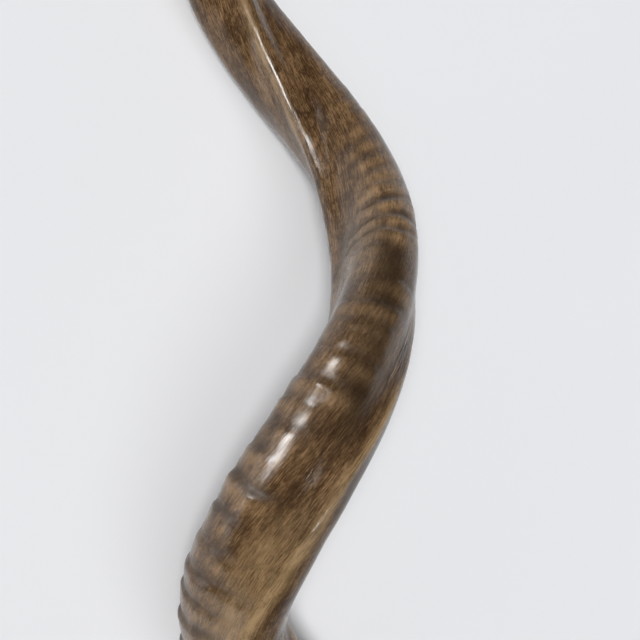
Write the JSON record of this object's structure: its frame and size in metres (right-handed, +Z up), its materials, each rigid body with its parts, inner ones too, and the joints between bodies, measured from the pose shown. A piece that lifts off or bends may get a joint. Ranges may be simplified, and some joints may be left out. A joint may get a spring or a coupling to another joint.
{
  "type": "kudu horn",
  "caption": "Twisted antelope horn lying on its side: a tapering right-handed corkscrew with a long sharp keel, a flat face, growth rings and an open socket at the base.",
  "frame": {"origin": "on the ground, under the middle of the lying horn's box", "axes": "+X towards the tip along the horn's length, +Y across it, +Z up from the ground that the horn lies on"},
  "size_m": [0.9614, 0.1672, 0.1547],
  "materials": {
    "horn": "polished keratin, mottled dark brown with tan keels and ring crests, streaked lengthwise, pale at the tip, matt inside the socket"
  },
  "bodies": {
    "root": {"horn": "horn"}
  },
  "joints": []
}
